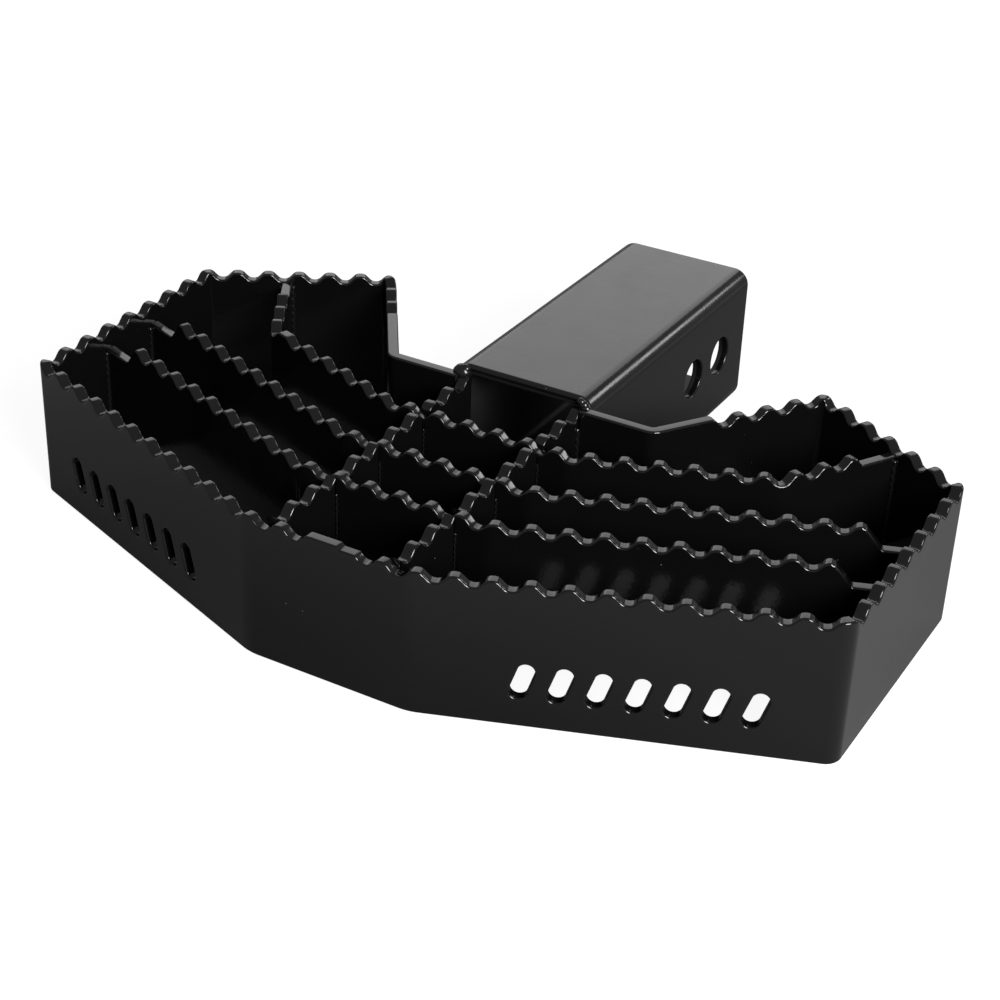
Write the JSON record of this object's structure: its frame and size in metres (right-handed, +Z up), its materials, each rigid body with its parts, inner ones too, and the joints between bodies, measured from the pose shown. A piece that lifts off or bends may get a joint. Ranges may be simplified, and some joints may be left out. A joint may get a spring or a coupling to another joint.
{
  "type": "hitch receiver step",
  "caption": "Welded steel step for a square towing receiver: a shank tube with cross pin holes and a crescent tread of serrated plates on edge, open below.",
  "frame": {"origin": "middle of the rear pin hole, on the shank's own axis", "axes": "+X across the vehicle along the pin holes, +Y along the shank towards the vehicle, +Z up"},
  "size_m": [0.353, 0.2909, 0.0641],
  "materials": {
    "shank_coat": "smooth gloss black powder coat",
    "tread_coat": "gloss black powder coat",
    "weld_coat": "gloss black powder coat over weld ripples"
  },
  "bodies": {
    "root": {"shank_tube": "shank_coat", "band_left": "tread_coat", "band_right": "tread_coat", "spine_left": "tread_coat", "spine_right": "tread_coat", "rib_front": "tread_coat", "rib_middle": "tread_coat", "rib_rear": "tread_coat", "front_seam_weld": "weld_coat", "shank_weld_left": "weld_coat", "shank_weld_right": "weld_coat", "mouth_welds": "weld_coat", "spine_foot_welds": "weld_coat", "rib_end_welds": "weld_coat", "crossing_welds": "weld_coat"}
  },
  "joints": []
}
